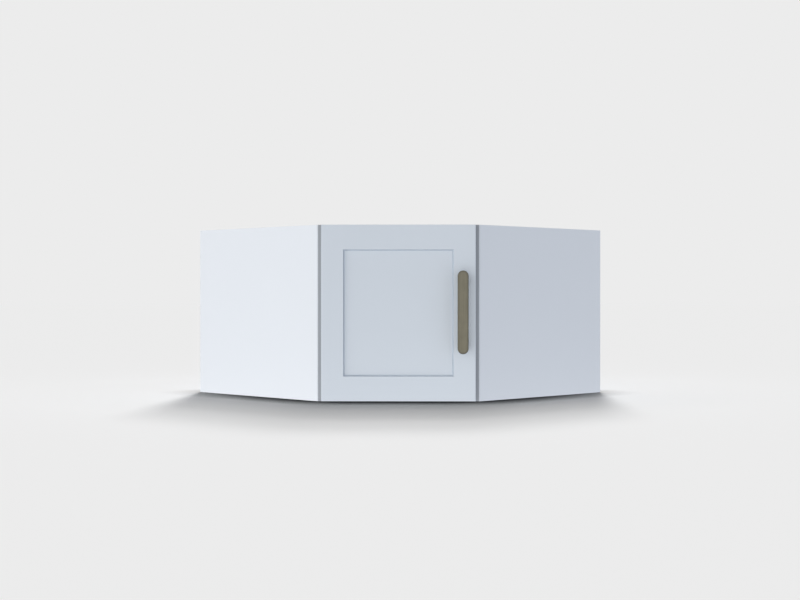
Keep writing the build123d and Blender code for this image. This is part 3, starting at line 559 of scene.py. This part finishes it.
# ---------------------------------------------------------------- hinges
# Pressed steel, nickel plated: cups in the door, arms on plates on the left end panel, and
# between them two links on rivets. The links carry the door round the edge of the panel.
nickel_dark, nickel_bright = (200, 199, 196), (219, 218, 215)
stain_size, scuff_size = 0.008, 0.0006
nickel_relief = 0.00001
nickel_roughness = 0.2           # at its smoothest
pressed_edge, cast_edge = 0.0002, 0.0003
nickel = Finish("nickel_plate", Metallic=1.0)
stains = nickel.noise(stain_size, detail=4)
scuffs = nickel.noise(scuff_size, (1, 1, 6))
nickel.set(Base_Color=nickel.blend(stains, tone(*nickel_dark), tone(*nickel_bright)),
           Roughness=stains * 0.12 + scuffs * 0.10 + nickel_roughness)
nickel.bump(scuffs, nickel_relief)
for where in ("lower_", "upper_"):
    for part, body, edge in (("hinge_cup", "door", pressed_edge),
                             ("outer_link", "outer_links", pressed_edge),
                             ("inner_link", "inner_links", pressed_edge),
                             ("hinge_arm", "carcass", pressed_edge),
                             ("mounting_plate", "carcass", cast_edge)):
        pressing = twin(where + part, where + part + "_plated")
        soften(pressing, edge)
        dress(pressing, body, "nickel", nickel.material)
        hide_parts(where + part)
carried(steel, "lower_cup_rivets", "upper_cup_rivets", "lower_arm_rivets", "upper_arm_rivets")

# ---------------------------------------------------------------- door frame
# Two stiles and two rails, glued up, sanded flush and sprayed, so that the paint closes the
# joints. The outer edges are rounded over; a groove inside holds the centre panel.
paint_tone = (224, 232, 241)
paint_roughness = 0.40
paint_skin = 0.0011
paint_relief = 0.00003
stile_width = 0.057
rail_width = 0.064
panel_groove_depth = 0.010
panel_groove_from = 0.00795      # from the door's face to the near side of the groove
panel_groove_width = 0.0061
outer_radius = 0.0011
inner_radius = 0.0004
cup_radius = 0.0175
cup_bore_radius, cup_bore_depth = 0.01755, 0.01155
ear_bore_radius, ear_bore_depth = 0.00175, 0.012
handle_bore_radius, handle_bore_depth = 0.0024, 0.03
bore_sides, cup_bore_sides = 32, 96
saw_past = 0.01                  # of a cutting shape beyond the door's faces
cornered_from = 1                # radians between two faces that meet at a corner
in_line = 1e-5                   # points nearer in one direction than this are in line


def bored(piece, mouth, radius, depth, sides=bore_sides):
    """Bore into the door's back, at a place on it."""
    bpy.ops.object.select_all(action="DESELECT")
    bpy.ops.mesh.primitive_cylinder_add(
        vertices=sides, radius=radius, depth=2 * depth, rotation=(pi / 2, 0, 0),
        location=(mouth[0], back_y, mouth[2]))
    carve(piece, settled("drill"))


door_low, door_high = Vector(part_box("left_stile")[0]), Vector(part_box("right_stile")[1])
face_y, back_y = door_low.y, door_high.y
door_frame = block("door_frame", door_low, door_high)
carve(door_frame, block(
    "opening",
    (door_low.x + stile_width, face_y - saw_past, door_low.z + rail_width),
    (door_high.x - stile_width, back_y + saw_past, door_high.z - rail_width)))


def outer(edge):
    """The edge lies on the outline of the door, not round its opening."""
    return all(min(abs(v.co.x - door_low.x), abs(v.co.x - door_high.x)) < touching
               or min(abs(v.co.z - door_low.z), abs(v.co.z - door_high.z)) < touching
               for v in edge.verts)


editing(door_frame)
bpy.ops.mesh.dissolve_limited(angle_limit=radians(flat_within))
pick(door_frame, "edges", lambda e: outer(e) and e.calc_face_angle(0) > cornered_from)
bpy.ops.mesh.bevel(offset=outer_radius, segments=4, profile=0.5)
pick(door_frame, "edges", lambda e: not outer(e) and e.calc_face_angle(0) > cornered_from
     and abs(e.verts[0].co.y - e.verts[1].co.y) < in_line)
bpy.ops.mesh.bevel(offset=inner_radius, segments=3, profile=0.5)
done()
carve(door_frame, block(
    "groove",
    (door_low.x + stile_width - panel_groove_depth, face_y + panel_groove_from,
     door_low.z + rail_width - panel_groove_depth),
    (door_high.x - stile_width + panel_groove_depth,
     face_y + panel_groove_from + panel_groove_width,
     door_high.z - rail_width + panel_groove_depth)))
for cup in ("lower_hinge_cup", "upper_hinge_cup"):
    low, high = map(Vector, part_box(cup))
    bored(door_frame, (low.x + cup_radius, 0, (low.z + high.z) / 2),
          cup_bore_radius, cup_bore_depth, cup_bore_sides)
for end, axis in seats("cup_screws", into_cabinet):
    bored(door_frame, end, ear_bore_radius, ear_bore_depth)
for end, axis in seats("handle_screws", into_cabinet):
    bored(door_frame, end, handle_bore_radius, handle_bore_depth)
soften(door_frame)
door_paint = white_finish("door_paint", tone(*paint_tone), paint_roughness, paint_skin,
                          paint_relief)
dress(door_frame, "door", "door_paint", door_paint)
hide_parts("left_stile", "right_stile", "top_rail", "bottom_rail")

# ---------------------------------------------------------------- centre panel
# A flat field with square edges that stops short of the frame, so that a dark line runs all
# round it. Its thinner rim slides in the groove of the frame.
field_margin = 0.0025
field_edge = 0.00035
panel_rim = 0.009
tongue_from = 0.008              # from the door's face to the front of the rim
low, high = map(Vector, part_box("centre_panel"))
tongue_y = face_y + tongue_from
centre_panel = block("door_panel", (low.x, tongue_y, low.z), high)
editing(centre_panel)
pick(centre_panel, "faces", lambda f: f.normal.y < -facing)
bpy.ops.mesh.inset(thickness=panel_rim + field_margin)
bpy.ops.mesh.extrude_region_move(TRANSFORM_OT_translate={"value": (0, low.y - tongue_y, 0)})
done()
soften(centre_panel, field_edge, 3)
dress(centre_panel, "door", "door_paint", door_paint)
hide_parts("centre_panel")

# ---------------------------------------------------------------- handle
# A flat bar with round ends on two turned posts, cast, brushed lengthwise and aged to a
# brownish bronze, with painted shade that is darkest along the bar's rounded edge, and with
# screws that come through the stile from behind.
bronze_tone = (152, 147, 129)
bronze_dark = (92, 89, 78)
bronze_edge_shade = (58, 58, 54)        # painted shade all along the bar's rounded edge
edge_shade_falloff, edge_shade_cover = 3, 0.9
streak_width, patina_size = 0.0016, 0.018
streak_share = 0.55              # of the streaks in the tone, beside the patina
bronze_relief = 0.00004
bronze_roughness = 0.30          # at its smoothest
grip_round = 0.0139              # of the bar's ends
grip_edge, grip_back_edge = 0.0022, 0.0006
low, high = map(Vector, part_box("handle_grip"))
grip = block("handle_bar", low, high)
editing(grip)
pick(grip, "edges", lambda e: abs(e.verts[0].co.y - e.verts[1].co.y) > touching)
bpy.ops.mesh.bevel(offset=grip_round, segments=20, profile=0.5)
for y, radius, segments in ((low.y, grip_edge, 5), (high.y, grip_back_edge, 2)):
    pick(grip, "edges", lambda e: all(abs(v.co.y - y) < in_line for v in e.verts)
         and e.calc_face_angle(0) > cornered_from)
    bpy.ops.mesh.bevel(offset=radius, segments=segments, profile=0.5)
done()
soften(grip)
bronze = Finish("aged_bronze", Metallic=0.9)
streaks = bronze.noise(streak_width, (1, 1, 60), detail=3, roughness=0.7)
patina = bronze.noise(patina_size, (1, 1, 2), detail=4, roughness=0.6)
half_width, half_length = (high.x - low.x) / 2, (high.z - low.z) / 2
from_middle = bronze.place(half_width, middle=(low + high) / 2)
across, along = (bronze.node("ShaderNodeSeparateXYZ", None, {"Vector": from_middle}, axis)
                 for axis in "XZ")
past_end = (abs(along) - (half_length / half_width - 1)) | 0
edge_shade = (across * across + past_end * past_end) ** edge_shade_falloff
brushed = bronze.blend(streaks * streak_share + patina * (1 - streak_share), tone(*bronze_dark),
                       tone(*bronze_tone))
# The edge mask darkens the colour along the bar's rounded edge: painted shade.
bronze.set(Base_Color=bronze.blend(edge_shade * edge_shade_cover, brushed, tone(*bronze_edge_shade)),
           Roughness=streaks * 0.14 + patina * 0.12 + bronze_roughness)
bronze.bump(streaks, bronze_relief)
dress(grip, "door", "aged_bronze", bronze.material)
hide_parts("handle_grip")

post = turned("post", [
    (0.0068, -0.0200), (0.0073, -0.0199), (0.0075, -0.0196), (0.0075, -0.0178), (0.0073, -0.0173),
    (0.0068, -0.0170), (0.0058, -0.0168), (0.0051, -0.0161), (0.0047, -0.0148), (0.0045, -0.0125),
    (0.0045, -0.0080), (0.0047, -0.0045), (0.0050, -0.0020), (0.0055, -0.0004), (0.0055, 0.0)], 48)
posts = placed(post, "handle_posts_turned", seats("handle_posts", (0, -1, 0)))
soften(posts)
dress(posts, "door", "aged_bronze", bronze.material)
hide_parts("handle_posts")

# ---------------------------------------------------------------- bumpers
# Clear soft domes stuck to the door's back, which meet the carcass when the door shuts.
# They are cast in a slightly hazy plastic.
clear_tone = (0.9, 0.92, 0.93, 1)
clear_roughness = 0.18           # at its smoothest
haze_size, clear_relief = 0.002, 0.00002
clear = Finish("clear_bumper", Transmission_Weight=0.75, IOR=1.46, Base_Color=clear_tone)
haze = clear.noise(haze_size, detail=3)
clear.set(Roughness=haze * 0.2 + clear_roughness)
clear.bump(haze, clear_relief)
carried(clear, "door_bumpers")

# ---------------------------------------------------------------- floor and light
# A pale seamless floor and plain soft light. A row of lamps behind and above the cabinet
# lights the floor, so that the shadow falls to the front, and wide lamps at the sides light
# the cabinet, together with a glow from the floor that is strongest near the cabinet. Near
# the cabinet the floor's colour is darkened as well, a painted shadow that deepens the cast
# one, most of all in a line under the door.
backdrop_tone = (236, 236, 236)
floor_tone = (249, 249, 249)     # of its paper, which the lamps bring down to the backdrop
floor_size = 60
floor_drop = 0.0005              # below the cabinet's underside
floor_glow = 0.54                # of the whole floor, and what the pool of light adds to it
pool_glow = 0.34
pool_radius = 1.3
near_reach, far_reach = 0.13, 0.6
far_shade = 0.22
front_place, front_radius = (0, -0.45, 0), 0.75
front_full = 0.5                 # of the way from there out, within which the shade is full
front_shade, back_shade = 4, 1.2     # of the painted shadow line under the door, and under the back
bpy.ops.object.select_all(action="DESELECT")
bpy.ops.mesh.primitive_plane_add(size=floor_size, location=(0, 0, -floor_drop))
floor = settled("floor")
paper = Finish("floor_paper", Roughness=1.0, Specular_IOR_Level=0.0)
near_painted_shadow, far_painted_shadow = (paper.node("ShaderNodeAmbientOcclusion", {"samples": 16}, {"Distance": reach}, "AO")
             for reach in (near_reach, far_reach))
before_door, pool = (paper.node("ShaderNodeTexGradient", {"gradient_type": "SPHERICAL"},
                                {"Vector": paper.place(radius, middle=middle)})
                     for radius, middle in ((front_radius, front_place), (pool_radius, (0, 0, 0))))
contact = before_door.math("MINIMUM", before_door * (front_shade / front_full),
                           front_shade) | back_shade
# The floor's colour holds a painted shadow, darker where the cabinet is near.
paper.set(Base_Color=paper.blend(near_painted_shadow ** contact * far_painted_shadow ** far_shade, (0, 0, 0, 1),
                                 tone(*floor_tone)))
glow = paper.node("ShaderNodeEmission", None, {
    "Color": paper.blend(pool * pool_glow + floor_glow, (0, 0, 0, 1), tone(*backdrop_tone)),
    "Strength": 1})
paper.fill(paper.tree.nodes["Material Output"].inputs["Surface"],
           paper.node("ShaderNodeMixShader", None, {
               0: paper.node("ShaderNodeLightPath", output="Is Camera Ray"),
               1: glow, 2: Value(paper, paper.shader.outputs[0])}))
floor.data.materials.append(paper.material)

lit = {}
for kept, state in (("floor_only", "INCLUDE"), ("cabinet_only", "EXCLUDE")):
    lit[kept] = bpy.data.collections.new(kept)
    lit[kept].objects.link(floor)
    lit[kept].collection_objects[0].light_linking.link_state = state


def lamp(name, direction, spread, level, kept, colour=(1, 1, 1)):
    """Light from a direction, as strong as level on a white face turned to it."""
    bpy.ops.object.light_add(type="SUN", location=(0, 0, 3))
    made = bpy.context.object
    made.name = name
    made.rotation_euler = Vector(direction).to_track_quat("Z", "Y").to_euler()
    made.data.energy, made.data.angle, made.data.color = level * pi, radians(spread), colour
    made.light_linking.receiver_collection = lit[kept]
    if kept == "cabinet_only":
        made.light_linking.blocker_collection = lit[kept]


floor_lamps = ((64, 18, 0.176), (49, 14, 0.155), (39, 11, 0.262), (29, 9, 0.398))
floor_lamps_aside = 0.045        # to the right, for each metre behind the cabinet
for height, spread, level in floor_lamps:
    rise = radians(height)
    lamp("floor_light", (floor_lamps_aside * cos(rise), cos(rise), sin(rise)), spread, level,
         "floor_only")
lamp("left_light", (-1.0, -0.15, 0.10), 60, 0.328, "cabinet_only")
lamp("front_left_light", (-0.7, -0.7, -0.08), 90, 0.322, "cabinet_only")
lamp("right_light", (1.0, 0, -0.03), 120, 0.328, "cabinet_only", (0.915, 1, 1.15))
lamp("back_light", (0, 0.75, 0.66), 75, 0.45, "cabinet_only")

sky_fill = 0.25
world = bpy.data.worlds.new("sky")
world.use_nodes = True
bpy.context.scene.world = world
sky = Nodes(world.node_tree)
seen = (sky.node("ShaderNodeLightPath", output="Is Camera Ray")
        | sky.node("ShaderNodeLightPath", output="Is Glossy Ray")
        | sky.node("ShaderNodeLightPath", output="Is Transmission Ray"))
sky.fill(sky.tree.nodes["World Output"].inputs["Surface"], sky.node("ShaderNodeMixShader", None, {
    0: seen,
    1: sky.node("ShaderNodeBackground", None, {"Color": (1, 1, 1, 1), "Strength": sky_fill}),
    2: sky.node("ShaderNodeBackground", None, {"Color": tone(*backdrop_tone), "Strength": 1})}))
